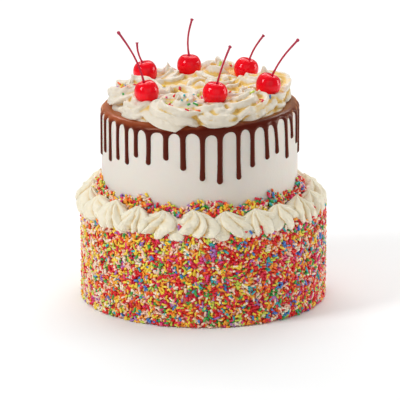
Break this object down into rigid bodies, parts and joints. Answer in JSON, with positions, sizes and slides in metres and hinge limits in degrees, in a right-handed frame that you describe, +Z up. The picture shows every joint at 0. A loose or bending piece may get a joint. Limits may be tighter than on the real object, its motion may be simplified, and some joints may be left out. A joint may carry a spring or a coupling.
{
  "type": "two-tier cake",
  "caption": "Round two-tier cake: sprinkle-coated lower tier with piped border, smooth iced upper tier with ganache drips, whipped cream and cherries on stems.",
  "frame": {"origin": "centre of the lower tier's flat underside, on the surface that the cake stands on", "axes": "+Z up through the tiers, -Y towards the front, +X to the right seen from the front"},
  "size_m": [0.2692, 0.2695, 0.3011],
  "materials": {
    "sprinkle_coat": "dense coat of short sugar rods in many colours over pale icing",
    "icing": "smooth white icing with a soft sheen, a bank of sugar rods at its foot",
    "ganache": "glossy dark chocolate",
    "cream": "whipped cream, soft satin, with a few sugar rods",
    "piped_border": "piped ivory cream with star tip ridges",
    "cherry": "bright red, wet and glossy",
    "stem": "dyed crimson stalk"
  },
  "bodies": {
    "root": {"lower_tier": "sprinkle_coat", "upper_tier": "icing", "ganache": "ganache", "top_cream": "cream", "border_01": "piped_border", "border_02": "piped_border", "border_03": "piped_border", "border_04": "piped_border", "border_05": "piped_border", "border_06": "piped_border", "border_07": "piped_border", "border_08": "piped_border", "border_09": "piped_border", "border_10": "piped_border", "border_11": "piped_border", "border_12": "piped_border", "border_13": "piped_border", "border_14": "piped_border", "border_15": "piped_border", "border_16": "piped_border", "border_17": "piped_border", "border_18": "piped_border", "border_19": "piped_border", "border_20": "piped_border", "border_21": "piped_border", "border_22": "piped_border", "border_23": "piped_border", "cherry_1": "cherry", "cherry_2": "cherry", "cherry_3": "cherry", "cherry_4": "cherry", "cherry_5": "cherry", "cherry_6": "cherry", "stem_1": "stem", "stem_2": "stem", "stem_3": "stem", "stem_4": "stem", "stem_5": "stem", "stem_6": "stem"}
  },
  "joints": []
}
